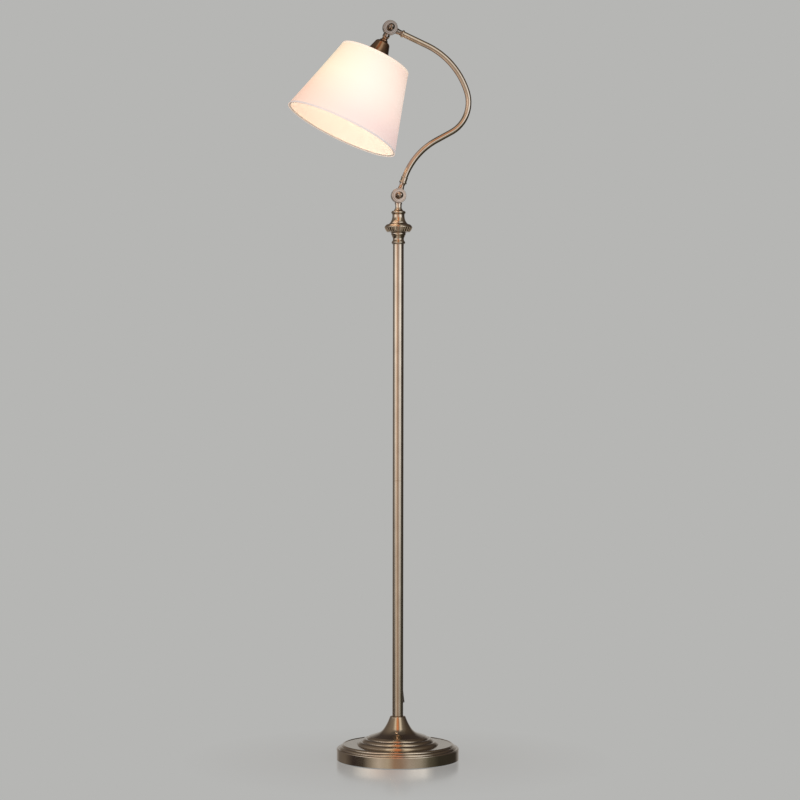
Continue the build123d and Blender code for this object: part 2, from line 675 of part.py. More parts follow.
# ---- arm ----------------------------------------------------------------------------
def make_arm():
    """Bent tube with a turned ferrule over each end."""
    line = Wire(arm_edges(ARM_NECK_END, ARM_NECK_END))
    pipe = swept(ARM_R, line) - swept(ARM_R - ARM_WALL, line)
    start = ARM_NECK_END
    ring_end = start + FERRULE_LENGTH
    sleeve_end = start + SLEEVE_LENGTH
    bead_start = sleeve_end - SLEEVE_BEAD_LENGTH
    bore = ARM_R + FIT
    cut = DIAGONAL * FERRULE_EDGE
    ring = (
        (bore, start),
        (FERRULE_R - FERRULE_EDGE, start),
        (FERRULE_R - cut, start + cut, FERRULE_R, start + FERRULE_EDGE),
        *rounded(FERRULE_R, ring_end, FERRULE_EDGE),
    )
    bead = (SLEEVE_BEAD_R, (bead_start + sleeve_end) / 2, SLEEVE_R, sleeve_end)
    sleeve = ((SLEEVE_R, ring_end), (SLEEVE_R, bead_start), bead)
    lower = turned(*ring, *sleeve, (bore, sleeve_end))
    upper = turned(*ring, (bore, ring_end))
    return {
        "arm_tube": pipe,
        "arm_lower_ferrule": along(LOWER_PIVOT, ARM_FOOT_WAY) * lower,
        "arm_upper_ferrule": along(UPPER_PIVOT, ARM_HEAD_WAY) * upper,
    }


# ---- lamp holder and bulb, in the head's frame -------------------------------------
def make_holder():
    """Neck spool and bell cup over an insulated screw lamp holder."""
    bore = STEM_R + FIT
    cup_face = outline_face(*CUP_OUTLINE, (0, CUP_END), (0, SPOOL_END))
    deep = 2 * CUP_END
    mouth_r = CUP_OUTLINE[-1][-2]
    long_face = outline_face(*CUP_OUTLINE, (mouth_r, deep), (0, deep), (0, SPOOL_END))
    cup = spun(cup_face) - inset_cavity(long_face, CUP_WALL) - rod(bore, 0, CUP_END)

    cap_bore = HOLDER_CAP_OUTLINE[-1][0] - HOLDER_CAP_WALL
    cap = turned(
        *HOLDER_CAP_OUTLINE,
        (cap_bore, HOLDER_CAP_END),
        (cap_bore, HOLDER_CAP_BEND),
        (bore + HOLDER_CAP_WALL, HOLDER_CAP_CAVITY_TOP),
        (bore, HOLDER_CAP_CAVITY_TOP),
        (bore, HOLDER_CAP_TOP),
    )
    body_bore = HOLDER_BODY_R - HOLDER_BODY_WALL
    shoulder_top, shoulder_end = HOLDER_SHOULDER
    body = turned(
        (body_bore, HOLDER_CAP_END),
        (HOLDER_BODY_R, HOLDER_CAP_END),
        (HOLDER_BODY_R, shoulder_top),
        (HOLDER_SHOULDER_R, shoulder_top + HOLDER_SHOULDER_R - HOLDER_BODY_R),
        (HOLDER_SHOULDER_R, shoulder_end),
        (HOLDER_BODY_R, shoulder_end),
        (HOLDER_BODY_R, HOLDER_BODY_END),
        (body_bore, HOLDER_BODY_END),
    )
    base = rod(body_bore - FIT, HOLDER_CAP_END, HOLDER_BASE_END)
    shell = tube(SCREW_SHELL_R, SCREW_SHELL_R - SCREW_SHELL_WALL, HOLDER_BASE_END, SCREW_SHELL_END)
    leaf = Pos(0, 0, HOLDER_BASE_END + CONTACT_LEAF[2] / 2) * Box(*CONTACT_LEAF)

    nut_top = shoulder_end + FITTER_THICK
    nut_end = nut_top + SHADE_NUT_LENGTH
    nut = tube(SHADE_NUT_R, HOLDER_BODY_R + FIT, nut_top, nut_end)
    grip = Pos(SHADE_NUT_R, 0, 0) * rod(SHADE_NUT_GRIP_R, nut_top, nut_end)
    grips = [Rot(0, 0, 360 * i / SHADE_NUT_GRIPS) * grip for i in range(SHADE_NUT_GRIPS)]
    local = {
        "neck_spool": drilled(SPOOL_OUTLINE, bore),
        "socket_cup": cup,
        "holder_cap": cap,
        "holder_body": body,
        "holder_base": base,
        "holder_screw_shell": shell,
        "holder_contact": leaf,
        "shade_nut": nut - grips,
    }
    return {name: HEAD * shape for name, shape in local.items()}


def globe_face(inset):
    """Half section of a bulb's ball with a straight neck that leaves it tangentially."""
    radius = BULB_GLOBE_R - inset
    foot_r = BULB_FOOT_R - inset
    drop = BULB_CENTRE - BULB_CAP_END
    leave = atan2(foot_r, drop) + acos(radius / hypot(foot_r, drop))

    def ball_point(angle):
        return (radius * sin(angle), BULB_CENTRE - radius * cos(angle))

    return outline_face(
        (0, BULB_CAP_END),
        (foot_r, BULB_CAP_END),
        ball_point(leave),
        (*ball_point(radians(BALL_STOPS[0])), *ball_point(radians(BALL_STOPS[1]))),
        (*ball_point(radians(BALL_STOPS[2])), 0, BULB_CENTRE + radius),
    )


def make_bulb():
    """Screw-cap bulb: glass ball, thin metal cap, insulator and centre contact."""
    globe = spun(globe_face(0)) - spun(globe_face(BULB_GLASS))
    collar_start = BULB_CAP_END - BULB_COLLAR
    cap = turned(
        (BULB_CAP_R - BULB_CAP_WALL, BULB_CAP_TOP),
        (BULB_CAP_R, BULB_CAP_TOP),
        (BULB_CAP_R, collar_start),
        (BULB_COLLAR_R, collar_start),
        (BULB_COLLAR_R, BULB_CAP_END),
        (BULB_CAP_R - BULB_CAP_WALL, BULB_CAP_END),
    )
    insulator_top = BULB_CAP_TOP - BULB_INSULATOR_LENGTH
    insulator = turned(
        (0, insulator_top),
        (BULB_TIP_R, insulator_top),
        (BULB_CAP_R - INSULATOR_INSET, BULB_CAP_TOP),
        (0, BULB_CAP_TOP),
    )
    tip = rod(BULB_TIP_R, insulator_top - BULB_TIP_THICK, insulator_top)
    local = {
        "bulb_globe": globe,
        "bulb_cap": cap,
        "bulb_insulator": insulator,
        "bulb_contact": tip,
    }
    return {name: HEAD * shape for name, shape in local.items()}


# ---- shade, in the head's frame -----------------------------------------------------
SHADE_SLOPE = (SHADE_BOTTOM_R - SHADE_TOP_R) / (SHADE_BOTTOM - SHADE_TOP)
SHADE_SLANT = (1 + SHADE_SLOPE**2) ** 0.5


def shade_r(height, inset=0.0):
    """Radius of the shade's outer surface, or of one set in from it, at a height."""
    return SHADE_TOP_R + (height - SHADE_TOP) * SHADE_SLOPE - inset * SHADE_SLANT


def cone_band(top, end, outer_inset, inner_inset):
    """Conical ring that follows the shade between two heights."""
    return turned(
        (shade_r(top, inner_inset), top),
        (shade_r(top, outer_inset), top),
        (shade_r(end, outer_inset), end),
        (shade_r(end, inner_inset), end),
    )


def hoop(height):
    """Wire hoop just inside the fabric."""
    centre = shade_r(height, SHADE_WALL + HOOP_GAP + HOOP_R)
    return Pos(0, 0, height) * Torus(centre, HOOP_R)


def shade_fitter(hoop_z):
    """Ring clamped on the holder, with wire spokes up to the top hoop."""
    fitter_z = HOLDER_SHOULDER[1]
    ring = tube(FITTER_R, HOLDER_BODY_R + FIT, fitter_z, fitter_z + FITTER_THICK)
    start = Vector(FITTER_R - FITTER_SPOKE_ROOT, 0, fitter_z + FITTER_THICK / 2)
    end = Vector(shade_r(hoop_z, SHADE_WALL + HOOP_GAP + HOOP_R), 0, hoop_z)
    way = end - start
    base = (Align.CENTER, Align.CENTER, Align.MIN)
    bar = Plane(origin=start, z_dir=way) * Cylinder(FITTER_SPOKE_R, way.length, align=base)
    bar -= Rot(0, 0, 90) * hoop(hoop_z)
    spokes = [Rot(0, 0, 360 * i / FITTER_SPOKES) * bar for i in range(FITTER_SPOKES)]
    return ring + spokes


def make_shade():
    """Fabric cone on two wire hoops, with a trim over each rim."""
    top_hoop = SHADE_TOP + TOP_HOOP_INSET
    bottom_hoop = SHADE_BOTTOM - BOTTOM_HOOP_INSET
    top_end = SHADE_TOP + TRIM_TOP_WIDTH
    bottom_start = SHADE_BOTTOM - TRIM_BOTTOM_WIDTH
    local = {
        "shade_fabric": cone_band(SHADE_TOP, SHADE_BOTTOM, 0, SHADE_WALL),
        "shade_top_trim": cone_band(SHADE_TOP, top_end, -TRIM_THICK, 0),
        "shade_bottom_trim": cone_band(bottom_start, SHADE_BOTTOM, -TRIM_THICK, 0),
        "shade_top_hoop": hoop(top_hoop),
        "shade_bottom_hoop": hoop(bottom_hoop),
        "shade_fitter": shade_fitter(top_hoop),
    }
    return {name: HEAD * shape for name, shape in local.items()}


# ---- wire ---------------------------------------------------------------------------
def wire_stub(pivot, way, side, end):
    """Wire line inside one knuckle half, in the lamp's frame."""
    return hinge_frame(pivot, way) * stem_wire(side, end)


def pole_wire_line():
    """From the lower knuckle's pocket down the pole and out to the mouth of the outlet."""
    frame = hinge_frame(LOWER_PIVOT, DOWN)
    inside = [(WIRE_POCKET_END, -WIRE_OFFSET), (WIRE_BEND_OUT, -WIRE_OFFSET), (WIRE_BEND_IN, 0)]
    points = [frame.from_local_coords(Vector(distance, 0, shift)) for distance, shift in inside]
    points += outlet_way()
    radii = [WIRE_BEND_R, WIRE_BEND_R, WIRE_OUTLET_BEND_R, WIRE_OUTLET_BEND_R]
    return FilletPolyline(*points, radius=radii)


def arm_wire_line():
    """From the lower knuckle's front pocket through the arm to the upper one's rear pocket."""
    foot = wire_stub(LOWER_PIVOT, ARM_FOOT_WAY, 1, ARM_NECK_END)
    top = wire_stub(UPPER_PIVOT, ARM_HEAD_WAY, -1, ARM_NECK_END)
    return Wire(foot.edges() + arm_edges(ARM_NECK_END, ARM_NECK_END) + top.edges())


def make_wires(pole_line):
    """Three lengths of flex, one in each body, ending in the knuckles' pockets."""
    wire_end = HEAD_NECK_END - NECK_FOOT + HOLDER_CAP_END - HEAD_WIRE_STOP
    head_line = wire_stub(UPPER_PIVOT, HEAD_WAY, 1, wire_end)
    return {
        "pole_wire": swept(WIRE_R, pole_line),
        "arm_wire": swept(WIRE_R, arm_wire_line()),
        "head_wire": swept(WIRE_R, head_line),
    }


def make_lamp():
    """Every piece of the lamp, by name."""
    pole_line = pole_wire_line()
    nodes = make_base()
    nodes.update(make_pole(pole_line))
    nodes.update(make_stack())
    nodes.update(make_knuckles())
    nodes.update(make_arm())
    nodes.update(make_holder())
    nodes.update(make_bulb())
    nodes.update(make_shade())
    nodes.update(make_wires(pole_line))
    return nodes


os.makedirs("parts", exist_ok=True)
for node, shape in make_lamp().items():
    export_step(shape, "parts/" + node + ".step")
print("lower pivot", LOWER_PIVOT, "upper pivot", UPPER_PIVOT)
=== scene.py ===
import json
import math

import bpy
import numpy as np
from mathutils import Euler, Matrix, Vector


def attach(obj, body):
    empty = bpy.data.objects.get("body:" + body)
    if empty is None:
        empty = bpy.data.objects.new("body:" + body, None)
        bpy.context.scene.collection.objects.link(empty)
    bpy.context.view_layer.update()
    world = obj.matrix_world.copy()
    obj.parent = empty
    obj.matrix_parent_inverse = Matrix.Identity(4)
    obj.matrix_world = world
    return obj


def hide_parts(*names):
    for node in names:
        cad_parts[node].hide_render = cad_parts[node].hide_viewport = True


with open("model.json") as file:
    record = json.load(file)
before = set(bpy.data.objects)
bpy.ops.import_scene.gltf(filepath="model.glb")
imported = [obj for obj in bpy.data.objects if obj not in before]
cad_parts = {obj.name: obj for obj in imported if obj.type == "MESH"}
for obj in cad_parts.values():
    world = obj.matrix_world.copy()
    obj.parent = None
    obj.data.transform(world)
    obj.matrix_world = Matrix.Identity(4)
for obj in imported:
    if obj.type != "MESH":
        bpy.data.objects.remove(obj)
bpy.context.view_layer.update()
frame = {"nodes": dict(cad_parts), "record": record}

MM = 0.001
JOINTS = {joint["name"]: joint for joint in frame["record"]["behaviour"]["joints"]}
LOWER_PIVOT = np.array(JOINTS["arm_tilt"]["pos_m"])
UPPER_PIVOT = np.array(JOINTS["head_tilt"]["pos_m"])


# ---- shader arithmetic ------------------------------------------------------------
class Socket:
    """A shader output that takes part in Python arithmetic by adding Math nodes."""

    def __init__(self, finish, link):
        self.finish = finish
        self.link = link

    def math(self, operation, *others):
        return self.finish.node("ShaderNodeMath", {"operation": operation}, self, *others)

    def __add__(self, other):
        return self.math("ADD", other)

    __radd__ = __add__

    def __mul__(self, other):
        return self.math("MULTIPLY", other)

    __rmul__ = __mul__

    def __sub__(self, other):
        return self.math("SUBTRACT", other)

    def __rsub__(self, other):
        return self.finish.node("ShaderNodeMath", {"operation": "SUBTRACT"}, other, self)

    def __truediv__(self, other):
        return self.math("DIVIDE", other)

    def __pow__(self, other):
        return self.math("POWER", other)

    def clamp(self, low=0.0, high=1.0):
        return self.math("MAXIMUM", low).math("MINIMUM", high)


class Finish:
    """One node tree: a material's, or the studio's."""

    def __init__(self, owner):
        self.owner = owner
        owner.use_nodes = True
        self.tree = owner.node_tree
        self.tree.nodes.clear()

    def node(self, kind, settings=None, *values, out=0, **named):
        """Adds a node, sets its settings, fills its sockets and returns one output."""
        made = self.tree.nodes.new(kind)
        for name, value in (settings or {}).items():
            if name == "stops":
                self.fill_ramp(made.color_ramp, value)
            else:
                setattr(made, name, value)
        sockets = list(enumerate(values))
        sockets += [(name.replace("_", " "), value) for name, value in named.items()]
        for place, value in sockets:
            socket = made.inputs[place]
            if isinstance(value, Socket):
                self.tree.links.new(value.link, socket)
            else:
                socket.default_value = value
        return Socket(self, made.outputs[out]) if made.outputs else None

    @staticmethod
    def fill_ramp(ramp, stops):
        """Sets a ramp's stops, each a place from 0 to 1 and a colour."""
        while len(ramp.elements) < len(stops):
            ramp.elements.new(1.0)
        for element, (place, colour) in zip(ramp.elements, stops):
            element.position = place
            element.color = (*colour, 1.0)

    def place(self):
        """X, Y and Z of the point in the lamp's own frame, in metres."""
        spot = self.node("ShaderNodeTexCoord", None, out=3)
        return self.split(spot)

    def split(self, vector):
        parts = self.tree.nodes.new("ShaderNodeSeparateXYZ")
        self.tree.links.new(vector.link, parts.inputs[0])
        return [Socket(self, output) for output in parts.outputs]

    def join(self, x, y, z):
        return self.node("ShaderNodeCombineXYZ", None, x, y, z)

    def noise(self, vector, scale, detail=2.0, rough=0.5):
        return self.node(
            "ShaderNodeTexNoise", None, Vector=vector, Scale=scale, Detail=detail, Roughness=rough
        )

    def blend(self, factor, first, second):
        """Colour mix of two tones by a factor."""
        mixed = self.tree.nodes.new("ShaderNodeMix")
        mixed.data_type = "RGBA"
        for name, value in (("Factor_Float", factor), ("A_Color", first), ("B_Color", second)):
            socket = next(s for s in mixed.inputs if s.identifier == name)
            if isinstance(value, Socket):
                self.tree.links.new(value.link, socket)
            elif isinstance(value, tuple):
                socket.default_value = (*value, 1.0)
            else:
                socket.default_value = value
        output = next(s for s in mixed.outputs if s.identifier == "Result_Color")
        return Socket(self, output)

    def bump(self, height, strength, distance):
        return self.node("ShaderNodeBump", None, Strength=strength, Distance=distance, Height=height)

    def surface(self, **sockets):
        """Principled surface; names use _ for a space."""
        shader = self.node("ShaderNodeBsdfPrincipled", None, **sockets)
        self.node("ShaderNodeOutputMaterial", None, shader)
        return self.owner


def new_finish(name):
    return Finish(bpy.data.materials.new(name))


def tone(red, green, blue):
    """Linear colour from 0 to 255 display values."""
    def linear(value):
        part = value / 255
        return part / 12.92 if part <= 0.04045 else ((part + 0.055) / 1.055) ** 2.4

    return (linear(red), linear(green), linear(blue))


# ---- metal finishes -----------------------------------------------------------------
NICKEL_LIGHT = (0.60, 0.50, 0.385)
NICKEL_DARK = (0.40, 0.315, 0.235)
# painted shade: dark brown laid into creases and hollows by ambient occlusion
CREASE_SHADE_COLOUR = (0.10, 0.065, 0.04)
UNTINTED = (1.0, 1.0, 1.0)
FINE_SCRATCHES = 2600.0  # scratch field per metre across the brushing
DRAWN_SCRATCHES = 2400.0
DRAWN_SCRATCHES_DEEP = 1900.0  # the same, front to back
RISE_SCRATCHES = 2300.0  # along a turned piece's axis
LATHE_RUN = 6.0  # scratch field per metre along the brushing, so the marks are long
DRAWN_RUN = 9.0
SPUN_RUN = 12.0
BENT_RUN = 60.0  # shorter marks on the bent arm
CLOUD_GRAIN = 38.0  # soft patches per metre
STREAK = 0.35
CLOUD_SHARE = 0.9
WEAR_START = 0.2
CREASE_REACH = 4 * MM
# Painted shade in the creases: how strongly and from where the occlusion darkens the plate, how mottled
# it is, its most, and how much it dulls the gloss.
CREASE_SHADE_GAIN = 1.5
CREASE_SHADE_START = 0.45
CREASE_SHADE_MOTTLE = 0.3
CREASE_SHADE_MOST = 0.85
SCRATCH_DULLING = 0.14
CREASE_SHADE_DULLING = 0.22
SMOOTHEST = 0.05


def tinted(colour, tint):
    """A colour with each part scaled by a tint."""
    return tuple(part * share for part, share in zip(colour, tint))


def brushed_nickel(name, across, along, roughness, tint=UNTINTED):
    """Aged nickel plate: fine scratches along the brushing, and painted shade: brown darkening in the
    creases, worked out from ambient occlusion.

    across and along are functions of (x, y, z) that give the coordinates across and along
    the scratches; the scratch field is a noise stretched along the second.
    """
    finish = new_finish(name)
    x, y, z = finish.place()
    grain = finish.join(across(x, y, z), along(x, y, z), 0.0)
    scratches = finish.noise(grain, 1.0, 3.0, 0.65)
    cloud = finish.noise(finish.join(x, y, z), CLOUD_GRAIN, 3.0, 0.6)
    # Painted shade: ambient occlusion finds the creases, and these are darkened below.
    crease = finish.node(
        "ShaderNodeAmbientOcclusion", {"samples": 6, "only_local": True}, Distance=CREASE_REACH, out=1
    )
    wear = (scratches * STREAK + cloud * CLOUD_SHARE - WEAR_START).clamp()
    plate = finish.blend(wear, tinted(NICKEL_LIGHT, tint), tinted(NICKEL_DARK, tint))
    # painted shade: darker brown where the occlusion is deep, broken by a random mottle
    crease_shade = (1.0 - crease) * CREASE_SHADE_GAIN - CREASE_SHADE_START + (cloud - 0.5) * CREASE_SHADE_MOTTLE
    crease_shade = crease_shade.clamp(0.0, CREASE_SHADE_MOST)
    colour = finish.blend(crease_shade, plate, CREASE_SHADE_COLOUR)
    dulling = (scratches - 0.5) * SCRATCH_DULLING + crease_shade * CREASE_SHADE_DULLING
    gloss = (roughness + dulling).clamp(SMOOTHEST, 1.0)
    return finish.surface(Base_Color=colour, Metallic=1.0, Roughness=gloss)


def lathe_brushed(name, roughness):
    """Scratches run in rings round the pole's axis, as a lathe leaves them."""
    def across(x, y, z):
        return (x ** 2.0 + y ** 2.0) ** 0.5 * FINE_SCRATCHES + z * RISE_SCRATCHES

    return brushed_nickel(name, across, lambda x, y, z: (x + y) * LATHE_RUN, roughness)


def disc_brushed(name, roughness, tint, pivot):
    """Scratches run in rings round a knuckle's pivot, whose axis runs front to back."""
    def across(x, y, z):
        reach = ((x - pivot[0]) ** 2.0 + (z - pivot[2]) ** 2.0) ** 0.5
        return reach * FINE_SCRATCHES + y * RISE_SCRATCHES

    return brushed_nickel(name, across, lambda x, y, z: (x + y) * LATHE_RUN, roughness, tint)


def plain(name, colour, roughness, metallic=0.0, speckle=0.12, scale=900.0, bump=0.1):
    """Moulded, cast or plated hidden pieces: one tone broken by a fine mottle."""
    finish = new_finish(name)
    x, y, z = finish.place()
    spot = finish.join(x, y, z)
    mottle = finish.noise(spot, scale, 3.0, 0.6)
    cloud = finish.noise(spot, scale / 12, 2.0, 0.5)
    dark = tuple(c * (1 - speckle) for c in colour)
    light = tuple(min(1.0, c * (1 + speckle)) for c in colour)
    return finish.surface(
        Base_Color=finish.blend(cloud, dark, light),
        Metallic=metallic,
        Roughness=(roughness + (mottle - 0.5) * 0.2).clamp(SMOOTHEST, 1.0),
        Normal=finish.bump(mottle, bump, 0.1 * MM),
    )


# ---- cloth, tape and glass ------------------------------------------------------------
def weave_height(finish, around, down):
    """Plain weave from the cloth's own map: two crossed sets of rounded threads."""
    warp = finish.node("ShaderNodeMath", {"operation": "SINE"}, around)
    weft = finish.node("ShaderNodeMath", {"operation": "SINE"}, down)
    return warp * weft * 0.5 + 0.5


SLUB_GRAIN = (900.0, 60.0)  # noise cells round and down the cloth
CROSS_GRAIN = (90.0, 700.0)
THREAD_TONE = (0.35, 0.28, 0.24)
THREAD_SHARE = 0.06
SIDE_GAIN = -1.10  # how fast the side's glow takes over, away from the arm
SIDE_START = 0.04
LINEN_DARK = (0.84, 0.81, 0.77)
LINEN_LIGHT = (0.90, 0.88, 0.84)


def cloth_finish(name, glow, side_glow, thread_count, weave):
    """Lit cloth with a painted glow: emission stands in for the bulb's light through the cloth; it
    changes from rim to hem, and warms on the side away from the arm, where the studio light falls
    differently.
    """
    finish = new_finish(name)
    spot = finish.node("ShaderNodeUVMap", {"uv_map": "cloth"})
    around, down, _ = finish.split(spot)
    slubs = finish.noise(finish.join(around * SLUB_GRAIN[0], down * SLUB_GRAIN[1], 0.0), 1.0, 2.0, 0.6)
    cross = finish.noise(finish.join(around * CROSS_GRAIN[0], down * CROSS_GRAIN[1], 0.0), 1.0, 2.0, 0.6)
    threads = weave_height(finish, around * thread_count[0], down * thread_count[1])
    face = threads * weave + (slubs + cross) * 0.5
    # Painted glow: emission colours stand in for the bulb's light through the cloth and the studio light
    # on its front and side.
    front = finish.node("ShaderNodeValToRGB", {"stops": glow}, down)
    flank = finish.node("ShaderNodeValToRGB", {"stops": side_glow}, down)
    turn = (around * (2 * math.pi)).math("COSINE")
    side = (turn * SIDE_GAIN - SIDE_START).clamp()
    lit = finish.blend(side, front, flank)
    lit = finish.blend((face * 0.5).clamp() * THREAD_SHARE, lit, THREAD_TONE)
    return finish.surface(
        Base_Color=finish.blend(slubs, LINEN_DARK, LINEN_LIGHT),
        Roughness=0.85,
        Sheen_Weight=0.25,
        Sheen_Roughness=0.5,
        Emission_Color=lit,
        Emission_Strength=1.0,
        Normal=finish.bump(face, 0.35, 0.12 * MM),
    )


def glowing_glass(name):
    """Frosted bulb glass, lit evenly from inside, with a fine frost."""
    finish = new_finish(name)
    x, y, z = finish.place()
    frost = finish.noise(finish.join(x, y, z), 2200.0, 2.0, 0.5)
    return finish.surface(
        Base_Color=finish.blend(frost, (0.93, 0.92, 0.90), (1.0, 0.99, 0.97)),
        Roughness=0.45,
        Emission_Color=finish.blend(frost * 0.2, (1.0, 0.86, 0.66), (1.0, 0.92, 0.78)),
        Emission_Strength=2.5,
        Normal=finish.bump(frost, 0.1, 0.05 * MM),
    )


# ---- surfaces ---------------------------------------------------------------------------
def ring_mesh(name, profile, turns, slot_of_row=None):
    """Mesh of a closed profile of (radius, height) points carried round the shade's axis.

    Points are a grid, rows along the profile and columns round the axis. Face (i, j) uses
    points (i, j), (i, j+1), (i+1, j+1) and (i+1, j), and both directions join round.
    """
    points = turned_points(profile, turns)
    rows = len(profile)
    index = np.arange(rows * turns).reshape(rows, turns)
    below = np.roll(index, -1, axis=0)
    faces = np.stack([index, np.roll(index, -1, axis=1), np.roll(below, -1, axis=1), below], axis=-1)
    mesh = bpy.data.meshes.new(name)
    mesh.from_pydata(points.reshape(-1, 3).tolist(), [], faces.reshape(-1, 4).tolist())
    mesh.shade_smooth()
    if slot_of_row is not None:
        mesh.polygons.foreach_set("material_index", np.repeat(slot_of_row, turns).astype(np.int32))
    mesh.update()
    piece = bpy.data.objects.new(name, mesh)
    bpy.context.scene.collection.objects.link(piece)
    return piece


def lay_map(piece, share_of_row, turns):
    """Cloth map: U is the share of a turn, V the given share for each row of the profile."""
    around = np.arange(turns + 1) / turns
    down = np.append(share_of_row, share_of_row[0])
    i, j = np.meshgrid(np.arange(len(share_of_row)), np.arange(turns), indexing="ij")
    u = np.stack([around[j], around[j + 1], around[j + 1], around[j]], axis=2)
    v = np.stack([down[i], down[i], down[i + 1], down[i + 1]], axis=2)
    layer = piece.data.uv_layers.new(name="cloth")
    layer.data.foreach_set("uv", np.stack([u, v], axis=-1).reshape(-1))


# ---- the shade's own axis -------------------------------------------------------------
HEAD_TILT = math.radians(25.4)
HEAD_DOWN = np.array([-math.sin(HEAD_TILT), 0.0, -math.cos(HEAD_TILT)])
HEAD_RIGHT = np.array([math.cos(HEAD_TILT), 0.0, -math.sin(HEAD_TILT)])
HEAD_FRONT = np.array([0.0, -1.0, 0.0])
SHADE_TOP = 68.8 * MM
SHADE_TOP_R = 73.0 * MM
SHADE_BOTTOM = 232.0 * MM
SHADE_BOTTOM_R = 119.0 * MM
SHADE_SLOPE = (SHADE_BOTTOM_R - SHADE_TOP_R) / (SHADE_BOTTOM - SHADE_TOP)
CLOTH = 0.7 * MM
TAPE = 0.4 * MM
CLOTH_INSET = 0.1 * MM  # the cloth stops this far inside each rim
CLOTH_PULL = 0.5 * MM  # how far the cloth draws in half way between its hoops
CLOTH_ROWS = 40
CLOTH_TURNS = 256
TAPE_TURNS = 192
TAPE_LIFT = 0.02 * MM  # gap between the tape's cut edge and the cloth
TAPE_BEVEL = 0.3 * MM
FOLD_BACK = 0.5 * MM  # the fold's centre lies this far inside the rim
FOLD_START = 0.6 * MM
FOLD_POINTS = 9


def turned_points(profile, turns):
    """Points of a profile carried round the shade's axis: rows by angle."""
    angle = np.linspace(0.0, 2 * math.pi, turns, endpoint=False)
    across = np.cos(angle)[:, None] * HEAD_RIGHT + np.sin(angle)[:, None] * HEAD_FRONT
    radius, height = profile[:, 0, None, None], profile[:, 1, None, None]
    return UPPER_PIVOT + radius * across + height * HEAD_DOWN


def shade_radius(height):
    """Outer radius of the cone at a height below the upper pivot."""
    return SHADE_TOP_R + (height - SHADE_TOP) * SHADE_SLOPE


def shade_cloth():
    """Stiff cone of cloth: the profile runs down the outside and back up the inside.

    Radius = the cone's line less the pull times the sine of half a turn from rim to hem,
    so that the cloth draws in a little between its two hoops.
    """
    down = np.linspace(SHADE_TOP + CLOTH_INSET, SHADE_BOTTOM - CLOTH_INSET, CLOTH_ROWS)
    share = (down - SHADE_TOP) / (SHADE_BOTTOM - SHADE_TOP)
    outer = shade_radius(down) - CLOTH_PULL * np.sin(math.pi * share)
    outside = np.stack([outer, down], axis=1)
    inside = np.stack([outer - CLOTH, down], axis=1)[::-1]
    lining = np.repeat([0, 1], CLOTH_ROWS)
    piece = ring_mesh("shade_cloth", np.concatenate([outside, inside]), CLOTH_TURNS, lining)
    lay_map(piece, np.concatenate([share, share[::-1]]), CLOTH_TURNS)
    return piece


def folded_tape(name, edge, width, inner_width, sign):
    """Tape folded over a rim: out along the cloth, round the edge, back inside.

    sign is 1 where the rim faces down and -1 where it faces up. The profile is a closed
    line: the outer skin, half a circle round the rim, and the inner skin.
    """
    slope = np.array([SHADE_SLOPE, 1.0]) / math.hypot(SHADE_SLOPE, 1.0)
    out = np.array([slope[1], -slope[0]])
    centre = np.array([shade_radius(edge), edge]) - out * CLOTH / 2
    away = slope * sign
    skin = CLOTH / 2 + TAPE
    cut = CLOTH / 2 + TAPE_LIFT
    fold = np.linspace(0.0, math.pi, FOLD_POINTS)
    rows = [
        centre + out * cut - away * width,
        centre + out * skin - away * (width - TAPE_BEVEL),
        centre + out * skin - away * FOLD_START,
    ]
    rows += [centre + out * skin * math.cos(t) + away * (skin * math.sin(t) - FOLD_BACK) for t in fold]
    rows += [
        centre - out * skin - away * (inner_width - TAPE_BEVEL),
        centre - out * cut - away * inner_width,
    ]
    profile = np.array(rows)[::sign]
    piece = ring_mesh(name, profile, TAPE_TURNS)
    lay_map(piece, np.linspace(0.0, 1.0, len(profile)), TAPE_TURNS)
    return piece


# ---- finishes for the lamp's pieces --------------------------------------------------------
# Painted light on the knuckles: both are one nickel; the lower copy is tinted lighter and the upper copy
# darker, standing in for how the light falls on each.
LIT_KNUCKLE_TINT = (0.78, 0.74, 0.76)
SHADED_KNUCKLE_TINT = (0.50, 0.50, 0.54)
BRONZE = (0.60, 0.45, 0.36)
POLE_METAL = brushed_nickel(
    "pole_nickel",
    lambda x, y, z: x * DRAWN_SCRATCHES + y * DRAWN_SCRATCHES_DEEP,
    lambda x, y, z: z * DRAWN_RUN,
    0.15,
)
STACK_METAL = lathe_brushed("stack_nickel", 0.13)
BASE_METAL = lathe_brushed("base_nickel", 0.11)
ARM_METAL = brushed_nickel(
    "arm_nickel",
    lambda x, y, z: y * FINE_SCRATCHES + (x + z) * BENT_RUN,
    lambda x, y, z: (x - z) * BENT_RUN,
    0.16,
)
# lit and shaded copies of one knuckle nickel: painted light
LIT_LOWER_KNUCKLE_METAL = disc_brushed("lower_knuckle_nickel_lit", 0.12, LIT_KNUCKLE_TINT, LOWER_PIVOT)
SHADED_UPPER_KNUCKLE_METAL = disc_brushed("upper_knuckle_nickel_shaded", 0.12, SHADED_KNUCKLE_TINT, UPPER_PIVOT)
HEAD_METAL = brushed_nickel(
    "head_bronze",
    lambda x, y, z: (x * HEAD_DOWN[0] + z * HEAD_DOWN[2]) * DRAWN_SCRATCHES,
    lambda x, y, z: (x + y) * SPUN_RUN,
    0.16,
    BRONZE,
)
ZINC = plain("zinc_plate", (0.55, 0.55, 0.52), 0.35, 1.0)
BRASS = plain("turned_brass", (0.66, 0.47, 0.22), 0.3, 1.0)
CAST = plain("cast_iron", (0.07, 0.07, 0.07), 0.7, 0.4, 0.25, 500.0, 0.5)
RUBBER = plain("foam_pad", (0.03, 0.03, 0.03), 0.9, 0.0, 0.2, 1500.0, 0.4)
BUSH = plain("outlet_moulding", (0.045, 0.035, 0.03), 0.42)
